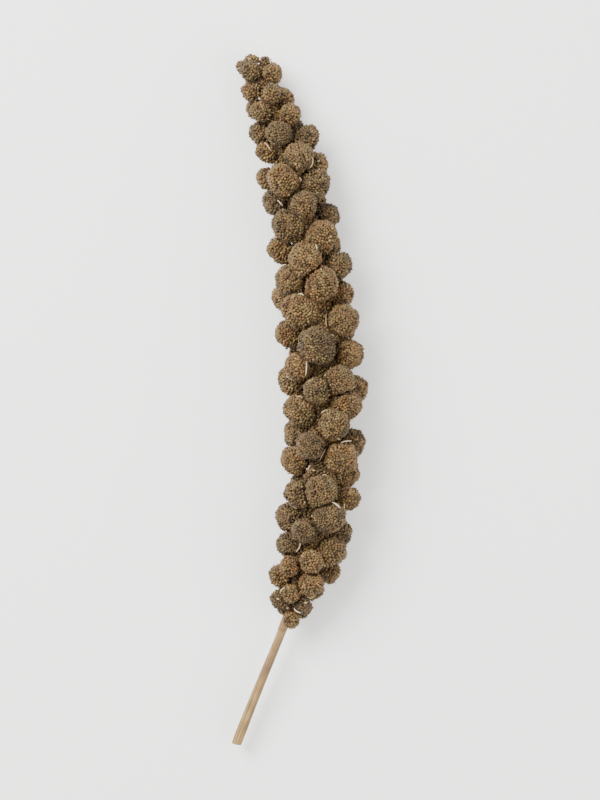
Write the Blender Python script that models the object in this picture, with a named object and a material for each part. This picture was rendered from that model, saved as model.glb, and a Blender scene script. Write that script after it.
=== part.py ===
"""A foxtail millet head, cut with a short piece of its stem and dried, lying on its side.

The seed head is one grown body: round lobes packed with grain stand all round a slender axis, and each
lobe's grain shows as raised knobs. The straw stem carries on from the head's foot. Metres, +Z up, the stem's
cut end towards -Y and the tip towards +Y. The origin is under the middle of the whole, on the surface that
the head lies on.
"""

import math
import random

import bmesh
import bpy
from mathutils import Euler, Matrix, Vector

MM = 0.001

# Driving dimensions
HEAD_LENGTH = 262 * MM  # from the lowest branch to the tip, along the bowed axis
HEAD_WIDTH = 41 * MM  # over the lobes, where the head is thickest
LOBE_WIDTH = 16 * MM  # a middling lobe there
STEM_LENGTH = 56 * MM
STEM_FOOT_WIDTH = 4.6 * MM  # at the cut
STEM_NECK_WIDTH = 3.8 * MM  # where the seed head begins

# How the head lies
CUT_END = (-28.6 * MM, -154.8 * MM)  # where the stem's cut lies, with the origin under the whole's middle
BOW = math.radians(17)  # how far the axis turns aside at its two ends
HOOK = math.radians(13)  # the further turn of the tip
WAVER = math.radians(4)  # a slight sideways wave
LEAN = math.radians(3)  # turns the whole so that its two ends lie on one line along Y
SAG_SHARE = 0.85  # how far the thin ends droop to the surface: 0 is a stiff head, 1 follows it
STEM_DROP = 4 * MM  # how far the cut end hangs below the head's foot
PRESSED = 1.3 * MM  # what the head's weight flattens of each lobe that carries it
SETTLING = 1.2 * MM  # a lobe within this of the surface comes down on it

# Shares of the full size along the head: (place from foot to tip, width over the lobes, width of a lobe)
TAPER = ((0.0, 0.56, 0.58), (0.10, 0.80, 0.82), (0.28, 0.98, 1.0), (0.50, 1.0, 1.0),
         (0.75, 0.87, 0.86), (0.92, 0.66, 0.70), (1.0, 0.46, 0.56))
GOLDEN_TURN = math.radians(137.508)  # from each lobe to the next one up the axis
SPREAD = 0.86  # 1 would pack the lobes with no gap
LOBE_VARIETY = (0.82, 1.18)
REACH_PLAY = (-1.6 * MM, 1.2 * MM)  # how far a lobe strays from its rule: in and out,
TURN_PLAY = math.radians(22)  # round the axis,
PLACE_PLAY = 2.5 * MM  # and along it
TRIES = 8  # draws for each lobe, of which the one that crowds its neighbours least is kept
NEIGHBOURS = 14  # lobes placed just before it that can touch it
NEAREST_SHARE = 0.3  # the least distance from the axis to a lobe's middle, as a share of its width
NARROWEST_RING = 0.55  # the same for the ring of lobes that shares out the length
LOWEST_LOBE = 7 * MM  # above the head's foot
HIGHEST_LOBE = 3 * MM  # below the end of the axis
TIP_LOBE = 1 * MM  # the last lobe's middle, below the end of the axis
LOBE_STRETCH = (1.0, 1.25)  # a lobe's length for its width
LOBE_RISE = math.radians(28)  # how far a lobe leans from square towards the tip
TIP_RISE = math.radians(62)  # and how far at the tip
KNOBS = 20  # raised on each lobe, larger than its grains are
KNOB_RELIEF = 0.13  # depth between the knobs, as a share of the lobe's radius
ROOTED = 2.5 * MM  # how deep a lobe's inner end is sunk in the core, at least
SUNK_SHARE = 0.72  # the part of a lobe's width that stands out of the core
CORE_NECK = 0.11  # the part of the head over which the core thickens from the stem's width
CORE_SIDES = 8
CORE_RINGS = 26
STEM_SIDES = 14
STEM_RINGS = 9
JOINT_GAP = 0.3 * MM  # between stem and seed head, so that the two solids stay apart
PITH_DEPTH = 3 * MM  # the open pith at the cut end of the stem
STEM_WALL = 0.9 * MM
STEM_SHARP = math.radians(50)  # edges of the cut, sharper than this, aren't shaded round
GROUND_WIDTH = 500 * MM  # the block that presses the lowest lobes flat
GROUND_DEPTH = 20 * MM
TRIANGLES = 10900  # left in the seed head once its joins are thinned
SEED = 41


def blend_of(table, place, column):
    """The table's value at a place between 0 and 1, eased between its rows."""
    place = min(max(place, table[0][0]), table[-1][0])
    for low, high in zip(table, table[1:]):
        if place <= high[0]:
            share = (place - low[0]) / (high[0] - low[0])
            share = share * share * (3 - 2 * share)
            return low[column] + (high[column] - low[column]) * share
    return table[-1][column]


def outer_radius(place):
    return HEAD_WIDTH / 2 * blend_of(TAPER, place, 1)


def lobe_width(place):
    return LOBE_WIDTH * blend_of(TAPER, place, 2)


def core_radius(place):
    """The core that the lobes stand out of, thinned to the stem's width at the head's foot."""
    neck = STEM_NECK_WIDTH / 2
    full = max(outer_radius(place) - SUNK_SHARE * lobe_width(place), neck)
    return neck + (full - neck) * min(place / CORE_NECK, 1)


def axis_height(place):
    """How high the axis runs: the head's thinner ends droop to the surface, and the stem a little more."""
    droop = SAG_SHARE * (HEAD_WIDTH / 2 - outer_radius(place))
    down_the_stem = max(-place * HEAD_LENGTH / STEM_LENGTH, 0)
    return HEAD_WIDTH / 2 - PRESSED - droop - STEM_DROP * down_the_stem**1.5


def axis_points(step=1 * MM):
    """The axis from the cut to the tip as points a step apart, with the head's foot at s = 0."""
    count = round((STEM_LENGTH + HEAD_LENGTH) / step)
    across, along = CUT_END
    points = []
    for i in range(count + 1):
        s = i * step - STEM_LENGTH
        points.append((s, Vector((across, along, axis_height(s / HEAD_LENGTH)))))
        share = (i + 0.5) / count
        heading = LEAN + BOW * math.cos(math.pi * share) - HOOK * share**4
        heading += WAVER * math.sin(3 * math.pi * share)
        across += step * math.sin(heading)
        along += step * math.cos(heading)
    return points


AXIS = axis_points()


def axis_at(s):
    """A matrix at s along the axis: its Z runs towards the tip, and its X lies level."""
    step = AXIS[1][0] - AXIS[0][0]
    place = min(max((s - AXIS[0][0]) / step, 0), len(AXIS) - 1)
    i = min(int(place), len(AXIS) - 2)
    start, end = AXIS[i][1], AXIS[i + 1][1]
    tangent = (AXIS[min(i + 2, len(AXIS) - 1)][1] - AXIS[max(i - 1, 0)][1]).normalized()
    level = tangent.cross(Vector((0, 0, 1))).normalized()
    turned = Matrix((level, tangent.cross(level), tangent)).transposed().to_4x4()
    return Matrix.Translation(start.lerp(end, place - i)) @ turned


def material(name, colour, roughness):
    made = bpy.data.materials.new(name)
    made.use_nodes = True
    shader = made.node_tree.nodes["Principled BSDF"]
    shader.inputs["Base Color"].default_value = (*colour, 1)
    shader.inputs["Roughness"].default_value = roughness
    shader.inputs["Metallic"].default_value = 0
    return made


def object_from(bm, name, finish, collection=None):
    mesh = bpy.data.meshes.new(name)
    bmesh.ops.recalc_face_normals(bm, faces=bm.faces)
    bm.to_mesh(mesh)
    bm.free()
    mesh.materials.append(finish)
    made = bpy.data.objects.new(name, mesh)
    (collection or bpy.context.scene.collection).objects.link(made)
    return made


def tube(stations, sides):
    """A closed tube through rings given as (matrix, radius)."""
    bm = bmesh.new()
    loops = []
    for number, (matrix, radius) in enumerate(stations):
        at_end = number in (0, len(stations) - 1)
        ring = bmesh.ops.create_circle(bm, cap_ends=at_end, radius=radius, segments=sides, matrix=matrix)
        edges = {edge for vert in ring["verts"] for edge in vert.link_edges}
        loops.append([edge for edge in edges if all(vert in ring["verts"] for vert in edge.verts)])
    for near, far in zip(loops, loops[1:]):
        bmesh.ops.bridge_loops(bm, edges=near + far)
    return bm


def knobbly_ball():
    """A ball of unit radius with knobs spread evenly over it, each ringed by lower points."""
    bm = bmesh.new()
    for number in range(KNOBS):
        height = 1 - (2 * number + 1) / KNOBS
        ring = math.sqrt(1 - height**2)
        turn = GOLDEN_TURN * number
        bm.verts.new((ring * math.cos(turn), ring * math.sin(turn), height))
    bmesh.ops.convex_hull(bm, input=bm.verts)
    knobs = list(bm.verts)
    old_edges = list(bm.edges)
    bmesh.ops.poke(bm, faces=bm.faces)
    bmesh.ops.rotate_edges(bm, edges=old_edges, use_ccw=False)
    for vert in bm.verts:
        vert.co.normalize()
        if vert not in knobs:
            vert.co *= 1 - KNOB_RELIEF
    ball = bpy.data.meshes.new("knobbly_ball")
    bm.to_mesh(ball)
    bm.free()
    return ball


def lobe_at(s, turn, width, draw):
    """(centre, direction, width) of a lobe that grows near s along the axis, turned about it."""
    place = s / HEAD_LENGTH
    furthest = core_radius(place) + width / 2 - ROOTED
    reach = max(outer_radius(place) - width / 2, width * NEAREST_SHARE) + draw.uniform(*REACH_PLAY)
    reach = min(reach, furthest)
    turn += draw.uniform(-TURN_PLAY, TURN_PLAY)
    frame = axis_at(s + draw.uniform(-PLACE_PLAY, PLACE_PLAY))
    outward = frame.to_3x3() @ Vector((math.cos(turn), math.sin(turn), 0))
    tangent = frame.to_3x3() @ Vector((0, 0, 1))
    rise = LOBE_RISE + (TIP_RISE - LOBE_RISE) * place**4
    centre = frame.translation + outward * reach
    bottom = centre.z - width / 2
    if bottom < SETTLING and (bottom < -PRESSED or reach + bottom + PRESSED < furthest):
        centre.z -= bottom + PRESSED
    return centre, outward * math.cos(rise) + tangent * math.sin(rise), width


def room_left(lobe, placed):
    """The clear space between a lobe and its nearest neighbour, below zero where they run together."""
    near = placed[-NEIGHBOURS:]
    return min([(lobe[0] - other[0]).length - (lobe[2] + other[2]) / 2 for other in near], default=0)


def lobe_places():
    """Every lobe from foot to tip, from one seeded draw."""
    draw = random.Random(SEED)
    tip = axis_at(HEAD_LENGTH - TIP_LOBE)
    places = []
    s, turn = LOWEST_LOBE, 0.0
    while s < HEAD_LENGTH - HIGHEST_LOBE:
        width = lobe_width(s / HEAD_LENGTH) * draw.uniform(*LOBE_VARIETY)
        turn += GOLDEN_TURN
        tries = [lobe_at(s, turn, width, draw) for _ in range(TRIES)]
        places.append(max(tries, key=lambda lobe: room_left(lobe, places)))
        around = 2 * math.pi * max(outer_radius(s / HEAD_LENGTH) - width / 2, width * NARROWEST_RING)
        s += SPREAD * width**2 / around
    places.append((tip.translation, tip.to_3x3() @ Vector((0, 0, 1)), lobe_width(1)))
    return places


def seed_head(finish):
    """The core, with every lobe joined to it and the lobes beneath pressed flat."""
    draw = random.Random(SEED + 1)
    stations = []
    for ring in range(CORE_RINGS):
        place = ring / (CORE_RINGS - 1)
        stations.append((axis_at(place * HEAD_LENGTH), core_radius(place)))
    head = object_from(tube(stations, CORE_SIDES), "seed_head", finish)

    ball = knobbly_ball()
    lobes = bpy.data.collections.new("lobes")
    for centre, direction, width in lobe_places():
        lobe = bpy.data.objects.new("lobe", ball.copy())
        lobe.data.materials.append(finish)
        spin = Euler([draw.uniform(0, math.tau) for _ in range(3)]).to_matrix().to_4x4()
        stretch = Matrix.Diagonal((1, 1, draw.uniform(*LOBE_STRETCH), 1)) @ spin
        turned = direction.to_track_quat("Z", "Y").to_matrix().to_4x4()
        size = Matrix.Scale(width / 2, 4)
        lobe.data.transform(Matrix.Translation(centre) @ turned @ size @ stretch)
        lobes.objects.link(lobe)
    join_and_apply(head, "UNION", lobes)
    thinned(head)

    block = bmesh.new()
    size = Matrix.Diagonal((GROUND_WIDTH, GROUND_WIDTH, GROUND_DEPTH, 1))
    bmesh.ops.create_cube(block, size=1, matrix=Matrix.Translation((0, 0, -GROUND_DEPTH / 2)) @ size)
    ground = bpy.data.collections.new("ground")
    object_from(block, "ground", finish, ground)
    join_and_apply(head, "DIFFERENCE", ground)


def join_and_apply(target, operation, collection):
    """One Boolean of the target with all that the collection holds, which is then removed."""
    bpy.context.scene.collection.children.link(collection)
    modifier = target.modifiers.new("joined", "BOOLEAN")
    modifier.operation = operation
    modifier.operand_type = "COLLECTION"
    modifier.collection = collection
    modifier.solver = "MANIFOLD"
    bpy.context.view_layer.objects.active = target
    with bpy.context.temp_override(object=target, active_object=target):
        bpy.ops.object.modifier_apply(modifier=modifier.name)
    for helper in list(collection.objects):
        bpy.data.objects.remove(helper)
    bpy.data.collections.remove(collection)


def thinned(target):
    """Drops the slivers that the joins leave, down to the set number of triangles."""
    modifier = target.modifiers.new("thinned", "DECIMATE")
    triangles = sum(len(face.vertices) - 2 for face in target.data.polygons)
    modifier.ratio = TRIANGLES / triangles
    with bpy.context.temp_override(object=target, active_object=target):
        bpy.ops.object.modifier_apply(modifier=modifier.name)


def stem(finish):
    """The straw stem, cut square, with its pith open at the cut."""
    stations = []
    for ring in range(STEM_RINGS):
        share = ring / (STEM_RINGS - 1)
        s = -STEM_LENGTH + share * (STEM_LENGTH - JOINT_GAP)
        width = STEM_FOOT_WIDTH + (STEM_NECK_WIDTH - STEM_FOOT_WIDTH) * share
        stations.append((axis_at(s), width / 2))
    bm = tube(stations, STEM_SIDES)
    foot = min(bm.faces, key=lambda face: face.calc_center_median().y)
    bmesh.ops.inset_region(bm, faces=[foot], thickness=STEM_WALL)
    along = stations[0][0].to_3x3() @ Vector((0, 0, 1))
    wall = bmesh.ops.extrude_face_region(bm, geom=[foot])
    sunk = [item for item in wall["geom"] if isinstance(item, bmesh.types.BMVert)]
    bmesh.ops.translate(bm, vec=along * PITH_DEPTH, verts=sunk)
    bmesh.ops.delete(bm, geom=[foot], context="FACES_ONLY")
    made = object_from(bm, "stem", finish)
    made.data.shade_smooth()
    made.data.set_sharp_from_angle(angle=STEM_SHARP)


def build():
    for old in list(bpy.data.objects):
        bpy.data.objects.remove(old)
    seed_head(material("brown_grain", (0.30, 0.19, 0.10), 0.55))
    stem(material("straw", (0.62, 0.47, 0.26), 0.6))


build()
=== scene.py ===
"""A dried foxtail millet head, cut with a short piece of its stem, lying on a pale floor under soft light."""

import math
import random

import bpy
import numpy as np
from mathutils import Euler, Matrix, Vector, noise


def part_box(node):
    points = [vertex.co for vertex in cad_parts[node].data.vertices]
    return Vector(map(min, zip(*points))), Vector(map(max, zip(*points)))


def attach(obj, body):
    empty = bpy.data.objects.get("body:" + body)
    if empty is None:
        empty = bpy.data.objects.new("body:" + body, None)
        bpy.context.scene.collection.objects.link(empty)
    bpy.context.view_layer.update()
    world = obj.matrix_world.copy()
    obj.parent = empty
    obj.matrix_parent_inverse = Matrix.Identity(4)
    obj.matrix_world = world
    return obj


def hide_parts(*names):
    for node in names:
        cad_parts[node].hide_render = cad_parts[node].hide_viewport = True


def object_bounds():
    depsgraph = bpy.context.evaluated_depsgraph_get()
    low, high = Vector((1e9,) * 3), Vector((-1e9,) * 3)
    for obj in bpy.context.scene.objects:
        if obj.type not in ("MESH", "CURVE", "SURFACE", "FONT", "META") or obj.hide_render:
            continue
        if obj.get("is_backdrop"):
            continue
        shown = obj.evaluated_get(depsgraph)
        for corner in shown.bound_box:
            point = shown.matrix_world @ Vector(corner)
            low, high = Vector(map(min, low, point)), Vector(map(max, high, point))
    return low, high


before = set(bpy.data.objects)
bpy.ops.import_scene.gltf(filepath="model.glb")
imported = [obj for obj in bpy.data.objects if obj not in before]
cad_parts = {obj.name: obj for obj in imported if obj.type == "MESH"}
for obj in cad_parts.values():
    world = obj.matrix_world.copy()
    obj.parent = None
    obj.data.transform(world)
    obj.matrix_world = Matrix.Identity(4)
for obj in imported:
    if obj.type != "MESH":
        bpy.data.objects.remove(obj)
cad_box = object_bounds()

# The stem
# The stalk below the head, cut with shears and dried: a pale straw skin, finely ribbed along its length, over
# soft pith that has shrunk back from the cut. It grew in one with the head's own axis.
MM = 0.001
HEAD_LENGTH = 262 * MM  # from the lowest branch to the tip, along the bowed axis
HEAD_WIDTH = 41 * MM  # over the lobes, where the head is thickest
STEM_LENGTH = 56 * MM
STEM_FOOT_WIDTH = 4.6 * MM
STEM_NECK_WIDTH = 3.8 * MM
CUT_END = (-28.6 * MM, -154.8 * MM)
BOW = math.radians(17)
HOOK = math.radians(13)
WAVER = math.radians(4)
LEAN = math.radians(3)
SAG_SHARE = 0.85
STEM_DROP = 4 * MM
PRESSED = 1.3 * MM
# Shares of the full size along the head: (place from foot to tip, width over the lobes, width of a lobe)
TAPER = ((0.0, 0.56, 0.58), (0.10, 0.80, 0.82), (0.28, 0.98, 1.0), (0.50, 1.0, 1.0),
         (0.75, 0.87, 0.86), (0.92, 0.66, 0.70), (1.0, 0.46, 0.56))
STEM_RIBS = 21
STEM_RINGS = 44
RIB_DEPTH = 0.2 * MM
RIB_WAVES = ((2.3, 90), (5, -210))  # (round the stalk, along it): swellings that keep the ribs uneven
RIB_PLAY = 0.2  # of the ribs' depth, how high those swellings are
GROOVE_PLAY = 0.25  # of a groove's depth, from one groove to another
GROOVE_STEP = 1.9
SKIN = 0.55 * MM
HOLLOW_DEPTH = 3 * MM
CUT_SLANT = 0.16  # how far the cut rises for each step across the stem
CUT_PINCH = 0.12 * MM  # how far the shears have squeezed the cut
PINCH_REACH = 1 / 12  # of the stem's length
BROWNING = (-16 * MM, 42 * MM)  # where the straw turns brown, up from the head's foot
SHARP_EDGE = math.radians(50)


def blend_of(table, place, column):
    """The table's value at a place between 0 and 1, eased between its rows."""
    place = min(max(place, table[0][0]), table[-1][0])
    for low, high in zip(table, table[1:]):
        if place <= high[0]:
            share = (place - low[0]) / (high[0] - low[0])
            share = share * share * (3 - 2 * share)
            return low[column] + (high[column] - low[column]) * share
    return table[-1][column]


def outer_radius(place):
    return HEAD_WIDTH / 2 * blend_of(TAPER, place, 1)


def axis_height(place):
    droop = SAG_SHARE * (HEAD_WIDTH / 2 - outer_radius(place))
    down_the_stem = max(-place * HEAD_LENGTH / STEM_LENGTH, 0)
    return HEAD_WIDTH / 2 - PRESSED - droop - STEM_DROP * down_the_stem**1.5


def axis_points(step=1 * MM):
    """The axis from the cut to the tip as points a step apart, with the head's foot at s = 0."""
    count = round((STEM_LENGTH + HEAD_LENGTH) / step)
    across, along = CUT_END
    points = []
    for i in range(count + 1):
        s = i * step - STEM_LENGTH
        points.append((s, Vector((across, along, axis_height(s / HEAD_LENGTH)))))
        share = (i + 0.5) / count
        heading = LEAN + BOW * math.cos(math.pi * share) - HOOK * share**4
        heading += WAVER * math.sin(3 * math.pi * share)
        across += step * math.sin(heading)
        along += step * math.cos(heading)
    return points


AXIS = axis_points()


def axis_at(s):
    """A matrix at s along the axis: its Z runs towards the tip, and its X lies level."""
    step = AXIS[1][0] - AXIS[0][0]
    place = min(max((s - AXIS[0][0]) / step, 0), len(AXIS) - 1)
    i = min(int(place), len(AXIS) - 2)
    start, end = AXIS[i][1], AXIS[i + 1][1]
    tangent = (AXIS[min(i + 2, len(AXIS) - 1)][1] - AXIS[max(i - 1, 0)][1]).normalized()
    level = tangent.cross(Vector((0, 0, 1))).normalized()
    turned = Matrix((level, tangent.cross(level), tangent)).transposed().to_4x4()
    return Matrix.Translation(start.lerp(end, place - i)) @ turned


def laid_along_axis(piece):
    """Bends a piece modelled straight along Z onto the axis, and keeps its straight shape as "unbent"."""
    unbent = piece.data.attributes.new("unbent", "FLOAT_VECTOR", "POINT")
    for vert, kept in zip(piece.data.vertices, unbent.data):
        kept.vector = vert.co
        vert.co = axis_at(vert.co.z) @ Vector((vert.co.x, vert.co.y, 0))


def select_piece(piece):
    bpy.ops.object.select_all(action="DESELECT")
    piece.select_set(True)
    bpy.context.view_layer.objects.active = piece


def apply_place(piece):
    select_piece(piece)
    bpy.ops.object.transform_apply(location=True, rotation=True, scale=True)


def select_only(piece, mode, chosen):
    """Selects only the chosen vertices, edges or faces of a piece, by number, and leaves it in edit mode."""
    select_piece(piece)
    bpy.ops.object.mode_set(mode="EDIT")
    bpy.ops.mesh.select_mode(type=mode)
    bpy.ops.mesh.select_all(action="DESELECT")
    bpy.ops.object.mode_set(mode="OBJECT")
    groups = {"VERT": piece.data.vertices, "EDGE": piece.data.edges, "FACE": piece.data.polygons}
    for number in chosen:
        groups[mode][number].select = True
    bpy.ops.object.mode_set(mode="EDIT")


def primitive(add, **settings):
    """A new primitive from one of Blender's add operators, the only thing selected."""
    bpy.ops.object.select_all(action="DESELECT")
    add(**settings)
    return bpy.context.object


def cut_into_rings(stalk, rings):
    """Cuts the edges that run along a straight stalk, so that it is that many rings of faces long."""
    heights = [vert.co.z for vert in stalk.data.vertices]
    half = (max(heights) - min(heights)) / 2
    ends = [edge.vertices for edge in stalk.data.edges]
    select_only(stalk, "EDGE", [i for i, (a, b) in enumerate(ends) if abs(heights[a] - heights[b]) > half])
    bpy.ops.mesh.subdivide(number_cuts=rings - 1)
    bpy.ops.object.mode_set(mode="OBJECT")


def straight_stalk(name, start, length, ribs, rings):
    """A closed straight stalk of unit radius along Z, cut into rings, with two points to each rib."""
    middle = (0, 0, start + length / 2)
    stalk = primitive(bpy.ops.mesh.primitive_cylinder_add, vertices=2 * ribs, radius=1, depth=length,
                      location=middle)
    stalk.name = name
    apply_place(stalk)
    cut_into_rings(stalk, rings)
    return stalk


def ribbed(stalk, ribs, depth, radius_at):
    """Gives each point of a straight stalk its radius, lower between the ribs, where "groove" is 1."""
    grooves = stalk.data.attributes.new("groove", "FLOAT", "POINT")
    for vert, groove in zip(stalk.data.vertices, grooves.data):
        turn = math.atan2(vert.co.y, vert.co.x)
        column = round(turn / math.pi * ribs)
        uneven = sum(math.sin(round_it * turn + along_it * vert.co.z) for round_it, along_it in RIB_WAVES)
        radius = radius_at(vert.co.z) + RIB_PLAY * depth * uneven
        if column % 2:
            radius -= depth * (1 - GROOVE_PLAY + GROOVE_PLAY * math.sin(GROOVE_STEP * column))
            groove.value = 1
        vert.co.x, vert.co.y = radius * math.cos(turn), radius * math.sin(turn)


def hollowed_cut(stalk, wall, depth):
    """Slants the lower end, insets it to the skin's thickness, and sinks a hollow inside it."""
    lowest = min(stalk.data.polygons, key=lambda face: face.center.z)
    for number in lowest.vertices:
        vert = stalk.data.vertices[number]
        vert.co.z += CUT_SLANT * (vert.co.x + STEM_FOOT_WIDTH / 2)
    select_only(stalk, "FACE", [lowest.index])
    bpy.ops.mesh.inset(thickness=wall, use_even_offset=False)
    sink = (0, 0, depth)
    bpy.ops.mesh.extrude_region_move(TRANSFORM_OT_translate={"value": sink, "orient_type": "GLOBAL"})
    bpy.ops.mesh.poke()
    bpy.ops.object.mode_set(mode="OBJECT")


def stem_radius(z):
    share = (z + STEM_LENGTH) / STEM_LENGTH
    pinch = CUT_PINCH * max(1 - share / PINCH_REACH, 0)
    return (STEM_FOOT_WIDTH + (STEM_NECK_WIDTH - STEM_FOOT_WIDTH) * share) / 2 - pinch


def new_finish(name):
    """A new material's (material, node tree, shader)."""
    finish = bpy.data.materials.new(name)
    finish.use_nodes = True
    return finish, finish.node_tree, finish.node_tree.nodes["Principled BSDF"]


def add_node(tree, kind, settings=(), **sockets):
    """A node of that kind, with its settings and its sockets' values. An underscore stands for a space."""
    made = tree.nodes.new("ShaderNode" + kind)
    for key, value in dict(settings).items():
        setattr(made, key, value)
    for key, value in sockets.items():
        made.inputs[key.replace("_", " ")].default_value = value
    return made


def add_reader(tree, kind, vector, **sockets):
    """What a mapping or a texture of that kind gives for that vector."""
    reader = add_node(tree, kind, **sockets)
    tree.links.new(vector, reader.inputs["Vector"])
    return reader.outputs[0]


def add_attribute(tree, name, output="Fac"):
    return add_node(tree, "Attribute", {"attribute_name": name}).outputs[output]


def add_ramp(tree, factor, *stops):
    """The colour of a ramp on that output, with stops given as (position, (r, g, b))."""
    ramp = add_node(tree, "ValToRGB")
    elements = ramp.color_ramp.elements
    while len(elements) < len(stops):
        elements.new(0.5)
    for element, (position, colour) in zip(elements, stops):
        element.position = position
        element.color = (*colour, 1)
    tree.links.new(factor, ramp.inputs["Fac"])
    return ramp.outputs["Color"]


def add_mix(tree, blend, share, first, second):
    """A colour mix of two outputs or (r, g, b), by a share that is a number or an output."""
    mix = add_node(tree, "Mix", {"data_type": "RGBA", "blend_type": blend})
    for value, socket in ((share, mix.inputs["Factor"]), (first, mix.inputs[6]), (second, mix.inputs[7])):
        if isinstance(value, float):
            socket.default_value = value
        elif isinstance(value, tuple):
            socket.default_value = (*value, 1)
        else:
            tree.links.new(value, socket)
    return mix.outputs[2]


def add_layers(tree, colour, *layers):
    """A colour times each layer in turn, with layers given as (share, colour)."""
    for share, layer in layers:
        colour = add_mix(tree, "MULTIPLY", share, colour, layer)
    return colour


def add_range(tree, value, start, end):
    """A value taken from one range to another, each given as (low, high)."""
    ranged = add_node(tree, "MapRange", From_Min=start[0], From_Max=start[1], To_Min=end[0], To_Max=end[1])
    tree.links.new(value, ranged.inputs["Value"])
    return ranged.outputs["Result"]


def add_bump(tree, height, strength, distance, shader):
    bump = add_node(tree, "Bump", Strength=strength, Distance=distance)
    tree.links.new(height, bump.inputs["Height"])
    tree.links.new(bump.outputs["Normal"], shader.inputs["Normal"])


def straw_finish(name, pale, deep, brown, speck):
    """Dry straw: streaks and dashes along the stalk, from "unbent", painted shade in the grooves between the
    ribs, turning brown where the head begins.
    """
    finish, tree, shader = new_finish(name)
    unbent = add_attribute(tree, "unbent", "Vector")
    lengthwise = add_reader(tree, "Mapping", unbent, Scale=(1, 1, 0.04))
    shortened = add_reader(tree, "Mapping", unbent, Scale=(1, 1, 0.16))
    streaks = add_reader(tree, "TexNoise", lengthwise, Scale=2100, Detail=5, Roughness=0.6)
    bands = add_reader(tree, "TexNoise", lengthwise, Scale=760, Detail=2)
    blotches = add_reader(tree, "TexNoise", unbent, Scale=130, Detail=4)
    dashes = add_reader(tree, "TexNoise", shortened, Scale=3400, Detail=2)
    skin = add_ramp(tree, streaks, (0.34, deep), (0.50, pale), (0.70, pale))
    weather = add_ramp(tree, blotches, (0.36, (0.58, 0.50, 0.40)), (0.60, (1, 1, 1)))
    band = add_ramp(tree, bands, (0.38, (0.62, 0.54, 0.44)), (0.56, (1, 1, 1)))
    # Painted shade: the straw is darker in the grooves between its ribs, where shade would fall.
    fine_lines = add_ramp(tree, add_attribute(tree, "groove"), (0.35, (1, 1, 1)), (1.0, (0.50, 0.42, 0.34)))
    specks = add_ramp(tree, dashes, (0.66, (0, 0, 0)), (0.74, (0.8, 0.8, 0.8)))
    place = add_node(tree, "SeparateXYZ")
    tree.links.new(unbent, place.inputs["Vector"])
    browning = add_range(tree, place.outputs["Z"], BROWNING, (0, 0.85))
    colour = add_layers(tree, skin, (0.7, weather), (0.8, band))
    colour = add_mix(tree, "MIX", browning, colour, brown)
    colour = add_mix(tree, "MIX", specks, add_layers(tree, colour, (1.0, fine_lines)), speck)
    tree.links.new(colour, shader.inputs["Base Color"])
    tree.links.new(add_range(tree, streaks, (0.3, 0.7), (0.40, 0.66)), shader.inputs["Roughness"])
    add_bump(tree, streaks, 0.5, 0.15 * MM, shader)
    return finish


def finished(piece, finish, node):
    """Gives a piece its finish and its slot, in place of the node, on the head's one body."""
    piece.data.materials.clear()
    piece.data.materials.append(finish)
    piece.data.polygons.foreach_set("material_index", [0] * len(piece.data.polygons))
    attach(piece, "root")
    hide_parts(node)


stem = straight_stalk("stem_skin", -STEM_LENGTH, STEM_LENGTH, STEM_RIBS, STEM_RINGS)
ribbed(stem, STEM_RIBS, RIB_DEPTH, stem_radius)
hollowed_cut(stem, SKIN, HOLLOW_DEPTH)
laid_along_axis(stem)
stem.data.shade_smooth()
stem.data.set_sharp_from_angle(angle=SHARP_EDGE)
straw = straw_finish("straw", pale=(0.34, 0.216, 0.066), deep=(0.135, 0.074, 0.024),
                     brown=(0.17, 0.095, 0.033), speck=(0.075, 0.04, 0.016))
finished(stem, straw, "stem")

# The pith
# The soft white core of the stem, foamy and brittle once it is dry. It has shrunk back a little from the cut
# and shows inside the ring of skin.
PITH_DEPTH = 0.7 * MM  # below the cut, at its highest
PITH_HEIGHT = 1.6 * MM
PITH_SUNK = 0.05 * MM  # how far it runs into the skin
PITH_ROUGHNESS = 0.05
# The crumbs on a ball: (height, then the wave along X, Y and Z, each with where it starts)
CRUMBS = ((1, (9.1, 0), (8.3, 1), (7.7, 2)), (0.5, (23, 1), (19, 0), (21, 4)))


def crumbled_ball(subdivisions, roughness):
    """A closed ball of unit radius with a crumbly surface."""
    ball = primitive(bpy.ops.mesh.primitive_ico_sphere_add, subdivisions=subdivisions, radius=1)
    for vert in ball.data.vertices:
        wave = 0
        for height, *waves in CRUMBS:
            sines = (math.sin(way * rate + start) for way, (rate, start) in zip(vert.co, waves))
            wave += height * math.prod(sines)
        vert.co *= 1 + roughness * wave
    return ball


def pith_finish():
    """Dry pith: a foam of fine cells, cream, browned here and there."""
    finish, tree, shader = new_finish("pith")
    coords = add_node(tree, "TexCoord").outputs["Object"]
    cells = add_reader(tree, "TexVoronoi", coords, Scale=3600)
    stains = add_reader(tree, "TexNoise", coords, Scale=900, Detail=3)
    foam = add_ramp(tree, cells, (0.1, (0.50, 0.39, 0.23)), (0.8, (0.26, 0.18, 0.09)))
    stain = add_ramp(tree, stains, (0.40, (0.45, 0.33, 0.20)), (0.62, (1, 1, 1)))
    tree.links.new(add_layers(tree, foam, (1.0, stain)), shader.inputs["Base Color"])
    shader.inputs["Roughness"].default_value = 0.9
    add_bump(tree, cells, 0.8, 0.2 * MM, shader)
    return finish


pith = crumbled_ball(4, PITH_ROUGHNESS)
pith.name = "pith"
pith_radius = stem_radius(-STEM_LENGTH) - SKIN + PITH_SUNK
pith.scale = (pith_radius, pith_radius, PITH_HEIGHT)
pith.location = (0, 0, PITH_DEPTH + PITH_HEIGHT - STEM_LENGTH)
apply_place(pith)
laid_along_axis(pith)
pith.data.shade_smooth()
finished(pith, pith_finish(), "stem")

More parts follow.
